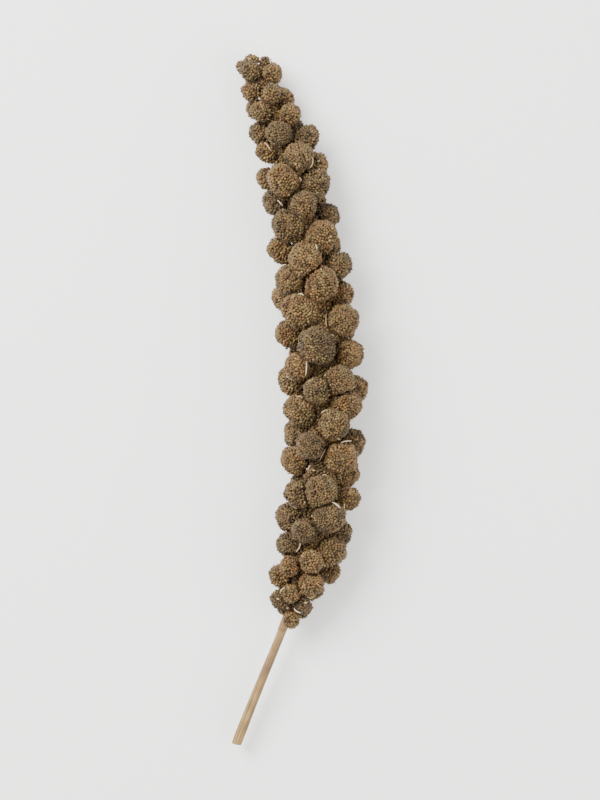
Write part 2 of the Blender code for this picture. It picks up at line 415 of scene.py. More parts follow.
# The head's axis
# The stem carries on up the middle of the head, thinner and browner, ridged and downy. It shows at the foot,
# where the lowest branches leave it, and here and there between the lobes.
AXIS_RINGS = 110
AXIS_TIP_WIDTH = 1.0 * MM
AXIS_OVERLAP = 1.2 * MM  # how far its end is sunk in the stem's upper end
AXIS_SUNK = 0.16 * MM
AXIS_END = 5 * MM  # below the head's tip
COLLAR = 0.36 * MM  # the swelling where the lowest branch leaves
COLLAR_PLACE = 3 * MM
COLLAR_REACH = 4 * MM
DOWN_COUNT = 520
DOWN_LENGTH = (0.7 * MM, 1.6 * MM)
DOWN_WIDTH = 0.09 * MM
DOWN_REACH = 34 * MM  # up from the head's foot
DOWN_CROWDING = 1.3  # above 1, more of it stands low down
DOWN_LEAN = (0.5, 1.6)  # up the head, for each step outwards
DOWN_SUNK = 0.1 * MM
DOWN_SEED = 5


def outward_at(place, turn):
    """The way outwards from a place on the axis, turned about it."""
    return place.to_3x3() @ Vector((math.cos(turn), math.sin(turn), 0))


def tangent_at(place):
    return place.to_3x3() @ Vector((0, 0, 1))


def axis_radius(z):
    share = max(z, 0) / HEAD_LENGTH
    swell = COLLAR * math.exp(-((z - COLLAR_PLACE) / COLLAR_REACH) ** 2)
    return (STEM_NECK_WIDTH + (AXIS_TIP_WIDTH - STEM_NECK_WIDTH) * share) / 2 + swell - AXIS_SUNK


def placed_points(model, matrices):
    """The model's points under each of the matrices."""
    points = np.array([vert.co for vert in model.data.vertices])
    return np.einsum("nij,vj->nvi", matrices[:, :3, :3], points) + matrices[:, None, :3, 3]


def copies_in_one(name, model, matrices, **tones):
    """One piece that holds a copy of the model at each matrix, with each tone as an attribute of its copy."""
    placed = placed_points(model, np.asarray(matrices))
    faces = np.array([list(face.vertices) for face in model.data.polygons])
    offsets = np.arange(len(placed))[:, None, None] * placed.shape[1]
    mesh = bpy.data.meshes.new(name)
    mesh.from_pydata(placed.reshape(-1, 3), [], (faces[None] + offsets).reshape(-1, faces.shape[1]))
    mesh.shade_smooth()
    for tone, values in tones.items():
        values = np.reshape(values, (len(values), -1))
        spread = np.broadcast_to(values, placed.shape[:2]).astype(np.float32)
        mesh.attributes.new(tone, "FLOAT", "POINT").data.foreach_set("value", spread.ravel())
    piece = bpy.data.objects.new(name, mesh)
    bpy.context.scene.collection.objects.link(piece)
    return piece


def triangulated(model):
    """The model with all its faces cut into triangles, and its place and size in its mesh."""
    apply_place(model)
    bpy.ops.object.mode_set(mode="EDIT")
    bpy.ops.mesh.select_all(action="SELECT")
    bpy.ops.mesh.normals_make_consistent(inside=False)
    bpy.ops.mesh.quads_convert_to_tris()
    bpy.ops.object.mode_set(mode="OBJECT")
    return model


def hair_model():
    """One hair of unit length and unit width along Z, three-sided and drawn out to a point."""
    return triangulated(primitive(bpy.ops.mesh.primitive_cone_add, vertices=3, radius1=0.5, radius2=0,
                                  depth=1, location=(0, 0, 0.5)))


def stands(point, direction, scale):
    """A matrix that stands a model on a point with its Z along a direction, scaled."""
    turned = direction.to_track_quat("Z", "Y").to_matrix().to_4x4()
    return Matrix.Translation(point) @ turned @ Matrix.Diagonal((*scale, 1))


def paper_finish(name, pale, deep):
    """Dry paper-thin scale: straw in a few shades, finely veined, darker where little light comes in."""
    finish, tree, shader = new_finish(name)
    coords = add_node(tree, "TexCoord").outputs["Object"]
    tone, air = (add_attribute(tree, name) for name in ("tone", "open_air"))
    fine_lines = add_reader(tree, "TexNoise", coords, Scale=3200, Detail=2)
    own = add_ramp(tree, tone, (0.1, deep), (0.9, pale))
    shade = add_ramp(tree, fine_lines, (0.35, (0.7, 0.66, 0.6)), (0.6, (1, 1, 1)))
    depth = add_ramp(tree, air, (0.05, (0.85, 0.72, 0.55)), (0.34, (1, 1, 1)))
    tree.links.new(add_layers(tree, own, (1.0, shade), (1.0, depth)), shader.inputs["Base Color"])
    shader.inputs["Roughness"].default_value = 0.7
    add_bump(tree, fine_lines, 0.3, 0.05 * MM, shader)
    return finish


axis_length = HEAD_LENGTH + AXIS_OVERLAP - AXIS_END
axis = straight_stalk("head_axis", -AXIS_OVERLAP, axis_length, STEM_RIBS, AXIS_RINGS)
ribbed(axis, STEM_RIBS, RIB_DEPTH, axis_radius)
laid_along_axis(axis)
axis.data.shade_smooth()
finished(axis, straw, "seed_head")

draw = random.Random(DOWN_SEED)
hair = hair_model()
down = []
for _ in range(DOWN_COUNT):
    s = DOWN_REACH * draw.random() ** DOWN_CROWDING - AXIS_OVERLAP
    turn = draw.uniform(0, math.tau)
    place = axis_at(s)
    outward = outward_at(place, turn)
    leaning = outward + tangent_at(place) * draw.uniform(*DOWN_LEAN)
    size = (DOWN_WIDTH, DOWN_WIDTH, draw.uniform(*DOWN_LENGTH))
    down.append(stands(place.translation + outward * (axis_radius(s) - DOWN_SUNK), leaning, size))
down_tones = [draw.random() for _ in down]
axis_down = copies_in_one("axis_down", hair, down, tone=down_tones, open_air=[1] * len(down))
finished(axis_down, paper_finish("down", (0.40, 0.30, 0.17), (0.21, 0.14, 0.065)), "seed_head")

# The lobes
# Each lobe is a short side branch, so crowded with finer ones that it has grown into a solid ball. These are
# the dark, crumbly hearts of the lobes, seen only between the grains; their dark is partly painted shade.
LOBE_WIDTH = 16 * MM
GOLDEN_TURN = math.radians(137.508)
SPREAD = 0.86
LOBE_VARIETY = (0.82, 1.18)
REACH_PLAY = (-1.6 * MM, 1.2 * MM)
TURN_PLAY = math.radians(22)
PLACE_PLAY = 2.5 * MM
TRIES = 8
NEIGHBOURS = 14
NEAREST_SHARE = 0.3
NARROWEST_RING = 0.55
LOWEST_LOBE = 7 * MM
HIGHEST_LOBE = 3 * MM
TIP_LOBE = 1 * MM
LOBE_STRETCH = (1.0, 1.25)
LOBE_RISE = math.radians(28)
TIP_RISE = math.radians(62)
SETTLING = 1.2 * MM
ROOTED = 2.5 * MM
SUNK_SHARE = 0.72
CORE_NECK = 0.11
SEED = 41
HEART_DEPTH = 2.2 * MM  # below a lobe's surface, under the grain
HEART_CLEARANCE = 0.4 * MM  # above the surface that the head lies on, for the grains pressed there
HEART_ROUGHNESS = 0.08
POINTS_AT_ONCE = 4000  # measured against the whole axis in one go


def lobe_width(place):
    return LOBE_WIDTH * blend_of(TAPER, place, 2)


def core_radius(place):
    """The crowded middle that the lobes stand out of, thinned to the stem's width at the head's foot."""
    neck = STEM_NECK_WIDTH / 2
    full = max(outer_radius(place) - SUNK_SHARE * lobe_width(place), neck)
    return neck + (full - neck) * min(place / CORE_NECK, 1)


def lobe_at(s, turn, width, draw):
    """(centre, direction, width) of a lobe that grows near s along the axis, turned about it."""
    place = s / HEAD_LENGTH
    furthest = core_radius(place) + width / 2 - ROOTED
    reach = max(outer_radius(place) - width / 2, width * NEAREST_SHARE) + draw.uniform(*REACH_PLAY)
    reach = min(reach, furthest)
    turn += draw.uniform(-TURN_PLAY, TURN_PLAY)
    place_on_axis = axis_at(s + draw.uniform(-PLACE_PLAY, PLACE_PLAY))
    outward = outward_at(place_on_axis, turn)
    rise = LOBE_RISE + (TIP_RISE - LOBE_RISE) * place**4
    centre = place_on_axis.translation + outward * reach
    bottom = centre.z - width / 2
    if bottom < SETTLING and (bottom < -PRESSED or reach + bottom + PRESSED < furthest):
        centre.z -= bottom + PRESSED
    return centre, outward * math.cos(rise) + tangent_at(place_on_axis) * math.sin(rise), width


def room_left(lobe, placed):
    """The clear space between a lobe and its nearest neighbour, below zero where they run together."""
    near = placed[-NEIGHBOURS:]
    return min([(lobe[0] - other[0]).length - (lobe[2] + other[2]) / 2 for other in near], default=0)


def lobe_places():
    """Every lobe from foot to tip, from one seeded draw."""
    draw = random.Random(SEED)
    tip = axis_at(HEAD_LENGTH - TIP_LOBE)
    places = []
    s, turn = LOWEST_LOBE, 0.0
    while s < HEAD_LENGTH - HIGHEST_LOBE:
        width = lobe_width(s / HEAD_LENGTH) * draw.uniform(*LOBE_VARIETY)
        turn += GOLDEN_TURN
        tries = [lobe_at(s, turn, width, draw) for _ in range(TRIES)]
        places.append(max(tries, key=lambda lobe: room_left(lobe, places)))
        around = 2 * math.pi * max(outer_radius(s / HEAD_LENGTH) - width / 2, width * NARROWEST_RING)
        s += SPREAD * width**2 / around
    places.append((tip.translation, tangent_at(tip), lobe_width(1)))
    return places


def lobe_frames():
    """For each lobe a matrix that takes the unit ball to its body, with the lobe's direction and width."""
    draw = random.Random(SEED + 1)
    frames = []
    for centre, direction, width in lobe_places():
        spin = Euler([draw.uniform(0, math.tau) for _ in range(3)]).to_matrix().to_4x4()
        stretch = Matrix.Diagonal((1, 1, draw.uniform(*LOBE_STRETCH), 1)) @ spin
        turned = direction.to_track_quat("Z", "Y").to_matrix().to_4x4()
        ball = Matrix.Translation(centre) @ turned @ Matrix.Scale(width / 2, 4) @ stretch
        frames.append((ball, direction, width))
    return frames


LOBES = lobe_frames()
BALLS = np.array([ball for ball, _, _ in LOBES])
INSIDE_BALLS = np.linalg.inv(BALLS)
AXIS_AT = np.array([point for _, point in AXIS])
CORE_AT = np.array([core_radius(s / HEAD_LENGTH) if s >= 0 else 0 for s, _ in AXIS])


def depth_in_lobes(points, owners):
    """How deep each point lies in the lobe that holds it deepest, other than its own, in metres."""
    depth = np.full(len(points), -1.0)
    for number, (inverse, lobe) in enumerate(zip(INSIDE_BALLS, LOBES)):
        inside = points @ inverse[:3, :3].T + inverse[:3, 3]
        here = (1 - np.linalg.norm(inside, axis=1)) * lobe[2] / 2
        depth = np.where(owners == number, depth, np.maximum(depth, here))
    return depth


def depth_in_core(points):
    """How deep each point lies in the head's crowded middle, in metres, below zero outside it."""
    depth = []
    for part in np.array_split(points, max(len(points) // POINTS_AT_ONCE, 1)):
        away = np.linalg.norm(part[:, None] - AXIS_AT[None], axis=2)
        nearest = away.argmin(axis=1)
        depth.append(CORE_AT[nearest] - away[np.arange(len(part)), nearest])
    return np.concatenate(depth)


def heart_finish():
    """Crumbled chaff, painted darker than its own brown to stand for the shade deep in the head, with paler
    flecks of dry husk in it.
    """
    finish, tree, shader = new_finish("chaff_with_painted_shade")
    coords = add_node(tree, "TexCoord").outputs["Object"]
    crumbs = add_reader(tree, "TexVoronoi", coords, Scale=1900)
    flecks = add_reader(tree, "TexNoise", coords, Scale=2400, Detail=5, Roughness=0.7)
    # Painted shade: the chaff's brown is taken far darker here, for the shade between and under the grains.
    crumbs_and_shade = add_ramp(tree, crumbs, (0.0, (0.180, 0.112, 0.050)), (0.7, (0.072, 0.043, 0.018)))
    fleck = add_ramp(tree, flecks, (0.54, (0, 0, 0)), (0.66, (1, 1, 1)))
    colour = add_mix(tree, "MIX", fleck, crumbs_and_shade, (0.23, 0.150, 0.073))
    tree.links.new(colour, shader.inputs["Base Color"])
    shader.inputs["Roughness"].default_value = 0.85
    add_bump(tree, crumbs, 1.0, 0.5 * MM, shader)
    return finish


heart = triangulated(crumbled_ball(3, HEART_ROUGHNESS))
shrunk = [Matrix.Diagonal((*[1 - 2 * HEART_DEPTH / width] * 3, 1)) for _, _, width in LOBES]
hearts = copies_in_one("lobe_hearts", heart, BALLS @ np.array(shrunk))
for vert in hearts.data.vertices:
    vert.co.z = max(vert.co.z, HEART_CLEARANCE)
chaff = heart_finish()
finished(hearts, chaff, "seed_head")

# The crowded middle
# What the lobes stand out of: the finest branches, grown together round the axis into one dark, crumbly core,
# its dark partly painted shade. It shows only deep in the hollows, behind the grain that lines them.
CORE_RIBS = 14
CORE_RINGS = 120
CORE_RIB_DEPTH = 0.7 * MM
CORE_BACK = 1.9 * MM  # how far the core's own surface lies below the grain that covers it
CORE_THINNEST = 0.4 * MM
CORE_FOOT = 4 * MM
CORE_END = 3 * MM  # below the head's tip


def inner_radius(z):
    return max(core_radius(z / HEAD_LENGTH) - CORE_BACK, CORE_THINNEST)


core_length = HEAD_LENGTH - CORE_FOOT - CORE_END
core = straight_stalk("crowded_middle", CORE_FOOT, core_length, CORE_RIBS, CORE_RINGS)
ribbed(core, CORE_RIBS, CORE_RIB_DEPTH, inner_radius)
laid_along_axis(core)
core.data.shade_smooth()
finished(core, chaff, "seed_head")

# The branchlets
# Each lobe hangs on a short stalk that leaves the axis a little lower down and ends inside the lobe. They
# show where the lobes stand apart, most of all at the head's foot.
BRANCHLET_FOOT = 1.5 * MM
BRANCHLET_TIP = 0.6  # of its width at the foot
BRANCHLET_RINGS = 5
BRANCHLET_SWELLING = 0.18
BRANCHLET_WAVES = 19  # radians of its swellings, from end to end
BRANCHLET_RISE = 0.55  # how far below a lobe its branchlet leaves the axis, as a share of the lobe's reach
LOWEST_BRANCHLET = 0.5 * MM
BRANCHLET_AIR = 0.25  # how open the air is round them, as they stand half hidden


def branchlet_model():
    """One stalk of unit length and width along Z, six-sided, waisted and swollen like the axis it leaves."""
    stalk = primitive(bpy.ops.mesh.primitive_cone_add, vertices=6, radius1=0.5, radius2=BRANCHLET_TIP / 2,
                      depth=1, location=(0, 0, 0.5))
    apply_place(stalk)
    cut_into_rings(stalk, BRANCHLET_RINGS)
    for vert in stalk.data.vertices:
        swelling = 1 + BRANCHLET_SWELLING * math.cos(vert.co.z * BRANCHLET_WAVES)
        vert.co.x, vert.co.y = vert.co.x * swelling, vert.co.y * swelling
    return triangulated(stalk)


branchlet = branchlet_model()
stalks = []
for ball in BALLS:
    middle = Vector(ball[:3, 3])
    s, beside = AXIS[np.linalg.norm(AXIS_AT - ball[:3, 3], axis=1).argmin()]
    root = axis_at(max(s - BRANCHLET_RISE * (middle - beside).length, LOWEST_BRANCHLET)).translation
    size = (BRANCHLET_FOOT, BRANCHLET_FOOT, (middle - root).length)
    stalks.append(stands(root, middle - root, size))
stalk_tones = [draw.random() for _ in stalks]
branchlets = copies_in_one("branchlets", branchlet, stalks, tone=stalk_tones,
                           open_air=[BRANCHLET_AIR] * len(stalks))
branchlet_paper = paper_finish("branchlet", (0.26, 0.165, 0.073), (0.13, 0.08, 0.035))
finished(branchlets, branchlet_paper, "seed_head")

# The grain
# Thousands of ripe grains, each a smooth seed in its own tight husk, cover every lobe and the hollows between
# them. Each stands on a stalk too short to see, with its point outwards and leaning up the head.
GRAIN_LENGTH = 2.1 * MM
GRAIN_WIDTH = 1.5 * MM
GRAIN_THICKNESS = 1.32 * MM
GRAIN_PITCH = 1.36 * MM  # from grain to grain where they are widest
GRAIN_SEAT = 1.15 * MM  # how far below a lobe's surface that is
GRAIN_VARIETY = (0.84, 1.14)
GRAIN_LEAN = 0.35  # towards the lobe's own direction
GRAIN_UNEVEN = 0.14
GRAIN_ABOVE = 0.60  # of its length, from a grain's middle to its point and the air above it
GRAIN_SIDES = 8
GRAIN_SHOULDER = (0.85, 0.85, 1.4)  # the ball's upper ring of points, drawn in and up towards the point
GRAIN_GIRTH = (1.15, 1.15, 0.1)  # its lower ring, widened and brought up to the middle
GRAIN_SEED = 11
TIP_PLAY = (-0.15 * MM, 0.35 * MM)
STREWN = 0.45  # of the pitch, how far a grain starts from its even place
CROWDED = 0.97  # of the pitch, below which two grains push each other apart
PUSHES = 4
STRETCHED_ROUND = 1.08  # a lobe's surface against that of a ball of its width
HOLLOW_PITCH = 1.4 * MM
HOLLOW_PLAY = (-1.2 * MM, 0.5 * MM)
HOLLOW_UNEVEN = 0.45
MOST_PRESSED = 3.2 * MM  # a grain that the floor would push in further than this is left out
LOST_SHARE = 0.065  # of the grains, shed before the head was cut
DULL_SHARE = 0.10  # of the grains, blind and dark
KNOBS = 20  # clusters of grain over a lobe, which stand a little higher
KNOB_RELIEF = 0.10
KNOB_REACH = 0.13
FLATS = 1.15  # how closely the flat sides of a lobe follow each other round it
FLAT_RELIEF = 0.07
FLAT_APART = 5.3
HIDDEN = 0.7 * MM  # a grain deeper than this in another lobe or in the core is left out
DIRECTIONS = 32  # looked along from each grain, to leave out those that nothing outside can see
OPAQUE = 0.88  # the share of a lobe's width that hides what is behind it
CORE_BALL_STEP = 4 * MM
STRETCHES = 5  # pieces that the grain is shared out to, from foot to tip
RIPE_PATCH = 3.2 * MM
RIPE_DRIFT = 0.42
OWN_TONE = 0.36  # how far a grain's tone is its own, beside its patch's
DULL_TONE = 0.2
LOBE_TONE_SEED = 28
TONE_PATCH = 8 * MM
TONE_DRIFT = 0.5


def grain_shape():
    """One grain along Z, 1 long and 1 wide: round, fullest at its middle and drawn in to a blunt point."""
    grain = primitive(bpy.ops.mesh.primitive_uv_sphere_add, segments=GRAIN_SIDES, ring_count=3, radius=0.5)
    heights = [vert.co.z for vert in grain.data.vertices]
    upwards = sorted(range(len(heights)), key=lambda number: heights[number])
    lower, upper = upwards[1:GRAIN_SIDES + 1], upwards[GRAIN_SIDES + 1:-1]
    for ring, shape in ((upper, GRAIN_SHOULDER), (lower, GRAIN_GIRTH)):
        select_only(grain, "VERT", ring)
        bpy.ops.transform.resize(value=shape, center_override=(0, 0, 0))
        bpy.ops.object.mode_set(mode="OBJECT")
    return triangulated(grain)


def golden_points(count):
    """Points spread evenly over the unit ball."""
    number = np.arange(count)
    height = 1 - (2 * number + 1) / count
    ring = np.sqrt(1 - height**2)
    turn = GOLDEN_TURN * number
    return np.stack((ring * np.cos(turn), ring * np.sin(turn), height), axis=1)


def lobe_relief(points, number):
    """How far out that lobe's surface lies each way: highest over a cluster, lower on its flat sides."""
    closeness = (points @ golden_points(KNOBS).T).max(axis=1)
    between = np.clip((1 - closeness) / KNOB_REACH, 0, 1)
    own_place = Vector((number, 0, 0)) * FLAT_APART
    flat = np.array([0.5 - noise.noise(Vector(point) * FLATS + own_place) for point in points])
    return (1 - KNOB_RELIEF * between) * (1 - FLAT_RELIEF * np.clip(flat, 0, 1))


def unit(vectors):
    return vectors / np.linalg.norm(vectors, axis=1, keepdims=True)


def standing(points, ups, sides, *sizes):
    """Matrices that stand a model on each point, Z along up and X towards side, at those three sizes."""
    z = unit(ups)
    x = unit(sides - z * (sides * z).sum(axis=1, keepdims=True))
    matrices = np.zeros((len(points), 4, 4))
    for column, (way, size) in enumerate(zip((x, np.cross(z, x), z), sizes)):
        matrices[:, :3, column] = way * np.reshape(size, (-1, 1))
    matrices[:, :3, 3] = points
    matrices[:, 3, 3] = 1
    return matrices


def kept_in_box(matrices, model, most):
    """Moves each copy until it is inside the head's own box, and says which of them moved less than most."""
    placed = placed_points(model, matrices)
    low, high = (np.array(corner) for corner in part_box("seed_head"))
    move = np.maximum(low - placed.min(axis=1), 0) - np.maximum(placed.max(axis=1) - high, 0)
    matrices[:, :3, 3] += move
    return np.abs(move).max(axis=1) < most


def pushed_apart(points, pitch):
    """Points on the unit ball, each moved away from those that crowd it, a few times over."""
    for _ in range(PUSHES):
        apart = points[:, None] - points
        distance = np.linalg.norm(apart, axis=2) + np.eye(len(points))
        crowding = np.clip(CROWDED - distance / pitch, 0, 1)
        points = unit(points + pitch / 2 * (apart * (crowding / distance)[:, :, None]).sum(axis=1))
    return points


def grains_over_lobes(rng):
    """(tips, outward directions, lobe numbers) of the grains that cover the lobes."""
    tips, outwards, owners = [], [], []
    for number, (ball, direction, width) in enumerate(LOBES):
        seat = width / 2 - GRAIN_SEAT
        around = 4 * math.pi * seat**2 * STRETCHED_ROUND
        points = golden_points(round(around / (GRAIN_PITCH**2 * math.sqrt(3) / 2)))
        points = unit(points + rng.normal(0, STREWN * GRAIN_PITCH / seat, points.shape))
        points = pushed_apart(points, GRAIN_PITCH / seat / math.sqrt(STRETCHED_ROUND))
        ball = np.array(ball)
        tips.append((points * lobe_relief(points, number)[:, None]) @ ball[:3, :3].T + ball[:3, 3])
        outwards.append(unit(points @ np.linalg.inv(ball[:3, :3])))
        owners.append(np.full(len(points), number))
    return np.concatenate(tips), np.concatenate(outwards), np.concatenate(owners)


def grains_in_hollows(rng):
    """(tips, outward directions, nearest lobe numbers) of the grains in the hollows between the lobes."""
    tips, outwards, owners = [], [], []
    s, turn = LOWEST_LOBE, 0.0
    while s < HEAD_LENGTH - HIGHEST_LOBE:
        radius = core_radius(s / HEAD_LENGTH)
        turn += GOLDEN_TURN
        s += HOLLOW_PITCH**2 / (2 * math.pi * radius)
        place = np.array(axis_at(s))
        outward = place[:3, :3] @ np.array((math.cos(turn), math.sin(turn), 0))
        tips.append(place[:3, 3] + outward * (radius + rng.uniform(*HOLLOW_PLAY)))
        outwards.append(outward)
        owners.append(np.linalg.norm(BALLS[:, :3, 3] - tips[-1], axis=1).argmin())
    return np.array(tips), np.array(outwards), np.array(owners)


def openness(points):
    """For each point the share of all directions in which neither a lobe nor the crowded middle hides it."""
    balls = list(BALLS @ np.diag((OPAQUE, OPAQUE, OPAQUE, 1)))
    for s in np.arange(0, HEAD_LENGTH, CORE_BALL_STEP):
        core_ball = Matrix.Translation(axis_at(s).translation)
        balls.append(np.array(core_ball @ Matrix.Scale(OPAQUE * core_radius(s / HEAD_LENGTH), 4)))
    directions = golden_points(DIRECTIONS)
    clear = np.ones((len(points), DIRECTIONS), bool)
    for inverse in np.linalg.inv(balls):
        start = points @ inverse[:3, :3].T + inverse[:3, 3]
        way = unit(directions @ inverse[:3, :3].T)
        along = start @ way.T
        passes_by = (start**2).sum(axis=1)[:, None] - along**2 > 1
        clear &= passes_by | (along > 0)
    return clear.mean(axis=1)


rng = np.random.default_rng(GRAIN_SEED)
over_lobes = grains_over_lobes(rng)
tips, outwards, owners = (np.concatenate(pair) for pair in zip(over_lobes, grains_in_hollows(rng)))
in_hollow = np.arange(len(tips)) >= len(over_lobes[0])
crowding = depth_in_lobes(tips, np.where(in_hollow, -1, owners))
buried = (crowding > HIDDEN) | (~in_hollow & (depth_in_core(tips) > HIDDEN))
open_air = openness(tips)
lobe_ways = np.array([direction for _, direction, _ in LOBES])
uneven = np.where(in_hollow, HOLLOW_UNEVEN, GRAIN_UNEVEN)[:, None]
ways = unit(outwards + GRAIN_LEAN * lobe_ways[owners] + uneven * rng.normal(0, 1, tips.shape))
sizes = np.outer((GRAIN_WIDTH, GRAIN_THICKNESS, GRAIN_LENGTH), rng.uniform(*GRAIN_VARIETY, len(tips)))
below = GRAIN_ABOVE * sizes[2] + rng.uniform(*TIP_PLAY, len(tips))
grains = standing(tips - outwards * below[:, None], ways, rng.normal(0, 1, tips.shape), *sizes)
grain = grain_shape()
in_sight = kept_in_box(grains, grain, MOST_PRESSED) & ~buried & (open_air > 0)
lost = in_sight & (rng.random(len(tips)) < LOST_SHARE)
kept = in_sight & ~lost
shed_grains, shed_ways, shed_air = grains[lost], ways[lost], open_air[lost]
grains, ways, owners, in_hollow = grains[kept], ways[kept], owners[kept], in_hollow[kept]
tips, outwards, crowding, open_air = tips[kept], outwards[kept], crowding[kept], open_air[kept]


def grain_finish():
    """A husked grain: brown in many shades, with painted shade at its foot and in the hollows, faintly glossy
    on top.
    """
    finish, tree, shader = new_finish("husked_grain")
    coords = add_node(tree, "TexCoord").outputs["Object"]
    names = ("tone", "lobe_tone", "height", "open_air")
    tone, lobe_tone, height, air = (add_attribute(tree, name) for name in names)
    mottle = add_reader(tree, "TexNoise", coords, Scale=3400, Detail=4, Roughness=0.62)
    blotches = add_reader(tree, "TexNoise", coords, Scale=230, Detail=3, Roughness=0.6)
    own = add_ramp(tree, tone, (0.0, (0.045, 0.026, 0.0085)), (0.25, (0.107, 0.0695, 0.0255)),
                   (0.75, (0.168, 0.114, 0.0435)), (1.0, (0.255, 0.187, 0.081)))
    cast = add_ramp(tree, lobe_tone, (0.0, (0.47, 0.45, 0.42)), (0.20, (0.68, 0.66, 0.62)),
                    (0.50, (0.80, 0.76, 0.68)), (0.72, (0.85, 0.77, 0.62)),
                    (0.86, (0.86, 0.71, 0.56)), (1.0, (1.0, 0.94, 0.84)))
    blush = add_ramp(tree, blotches, (0.38, (1.03, 0.87, 0.81)), (0.62, (0.94, 1.02, 1.03)))
    spots = add_ramp(tree, mottle, (0.38, (0.62, 0.55, 0.46)), (0.56, (1, 1, 1)))
    # Painted shade: each grain is darker towards its foot, where its neighbours crowd round it.
    painted_foot_shade = add_ramp(tree, height, (0.30, (0.72, 0.65, 0.56)), (0.66, (1, 1, 1)))
    shade = add_ramp(tree, air, (0.05, (1.0, 0.92, 0.80)), (0.34, (1, 1, 1)))
    colour = add_layers(tree, own, (1.0, cast), (1.0, blush), (0.8, spots), (1.0, painted_foot_shade), (1.0, shade))
    tree.links.new(colour, shader.inputs["Base Color"])
    tree.links.new(add_range(tree, mottle, (0.35, 0.65), (0.42, 0.64)), shader.inputs["Roughness"])
    shader.inputs["Specular IOR Level"].default_value = 0.35
    add_bump(tree, mottle, 0.6, 0.10 * MM, shader)
    return finish


def patches(points, size):
    """A value for each point, above and below 0, that drifts in patches of that size."""
    return np.array([noise.noise(Vector(point) / size) for point in points])


def ripeness(points):
    """A tone for each grain, mostly its own, drifting in patches a few grains wide."""
    own = OWN_TONE * rng.uniform(-1, 1, len(points))
    tones = np.clip(0.5 + own + RIPE_DRIFT * patches(points, RIPE_PATCH), 0, 1)
    return np.where(rng.random(len(points)) < DULL_SHARE, DULL_TONE * tones, tones)


brown_grain = grain_finish()
grain_tones = ripeness(tips)
lobe_tones = np.random.default_rng(LOBE_TONE_SEED).random(len(LOBES))[owners]
lobe_tones = np.clip(lobe_tones + TONE_DRIFT * patches(tips, TONE_PATCH), 0, 1)
heights = np.array([vert.co.z + 0.5 for vert in grain.data.vertices])
foot_to_tip = np.argsort(owners, kind="stable")
for stretch, here in enumerate(np.array_split(foot_to_tip, STRETCHES), 1):
    piece = copies_in_one(f"grain_{stretch}", grain, grains[here], tone=grain_tones[here],
                          lobe_tone=lobe_tones[here], open_air=open_air[here],
                          height=np.tile(heights, (len(here), 1)))
    finished(piece, brown_grain, "seed_head")

# The glumes
# Small keeled scales of dry paper that clasp the lower half of each grain, paler than it, some pressed close
# and some lifted. They grew round the flower that the grain came from.
GLUME_SHARE = 0.75  # of the grains that show one
GLUME_LENGTH = (1.2 * MM, 1.75 * MM)
GLUME_WIDTH = 1.15 * MM
GLUME_DEPTH = 0.55 * MM
GLUME_KEEL = 0.3  # how high its keel stands, in its model of length and width 1
GLUME_FOOT = 0.1  # how far out the middle of its keel is
GLUME_CURL = 0.55
GLUME_WRAP = 1.4
GLUME_DROOP = 0.24  # how much lower its sides are, for each step away from its keel
GLUME_OUT = 0.50  # of a grain's width, from its middle
GLUME_UP = (-0.35 * MM, 0.15 * MM)  # from the grain's middle to its own
GLUME_FLARE = (0.0, 0.30)
MOST_MOVED = 1.6 * MM  # a small piece that staying inside the head would move further than this is left out


def glume_shape():
    """One scale of unit length along Z, its keel towards +X, its sides wrapped back and its tip curled in."""
    glume = primitive(bpy.ops.mesh.primitive_cone_add, vertices=4, radius1=0.5, radius2=0, depth=GLUME_KEEL,
                      rotation=(0, math.pi / 2, 0), location=(GLUME_FOOT, 0, 0))
    triangulated(glume)
    for vert in glume.data.vertices:
        vert.co.x -= GLUME_CURL * max(vert.co.z, 0) ** 2 + GLUME_WRAP * vert.co.y**2
        vert.co.z -= GLUME_DROOP * abs(vert.co.y)
    return glume


def scattered(name, model, matrices, air, finish):
    """One straw-coloured piece of the copies that fit inside the head, and the numbers of those copies."""
    fits = np.flatnonzero(kept_in_box(matrices, model, MOST_MOVED))
    piece = copies_in_one(name, model, matrices[fits], tone=rng.random(len(fits)), open_air=air[fits])
    finished(piece, finish, "seed_head")
    return piece, fits


clasped = np.flatnonzero(rng.random(len(grains)) < GLUME_SHARE)
glume_ways = ways[clasped]
sides = unit(np.cross(glume_ways, rng.normal(0, 1, glume_ways.shape)))
widths = np.linalg.norm(grains[clasped, :3, 0], axis=1, keepdims=True)
feet = grains[clasped, :3, 3] + sides * GLUME_OUT * widths
feet += glume_ways * rng.uniform(*GLUME_UP, (len(clasped), 1))
glume_lengths = rng.uniform(*GLUME_LENGTH, len(clasped))
flares = rng.uniform(*GLUME_FLARE, (len(clasped), 1))
scales = standing(feet, glume_ways + sides * flares, sides, GLUME_DEPTH, GLUME_WIDTH, glume_lengths)
glume = glume_shape()
glume_paper = paper_finish("glume_paper", (0.24, 0.155, 0.064), (0.110, 0.064, 0.023))
scattered("glumes", glume, scales, open_air[clasped], glume_paper)

# The empty scales
# Where a grain has dropped out, the dry scales that held it stay on the lobe. They are of the glumes' kind,
# a little longer, and gape round the empty seat.
EMPTY_SCALES = 3  # round each empty seat
EMPTY_LENGTH = (1.7 * MM, 2.3 * MM)
EMPTY_WIDTH = 1.3 * MM
EMPTY_OUT = 0.42 * MM  # from the seat's middle
EMPTY_GAPE = (0.15, 0.60)
EMPTY_PLAY = 0.3  # in the turn from one to the next

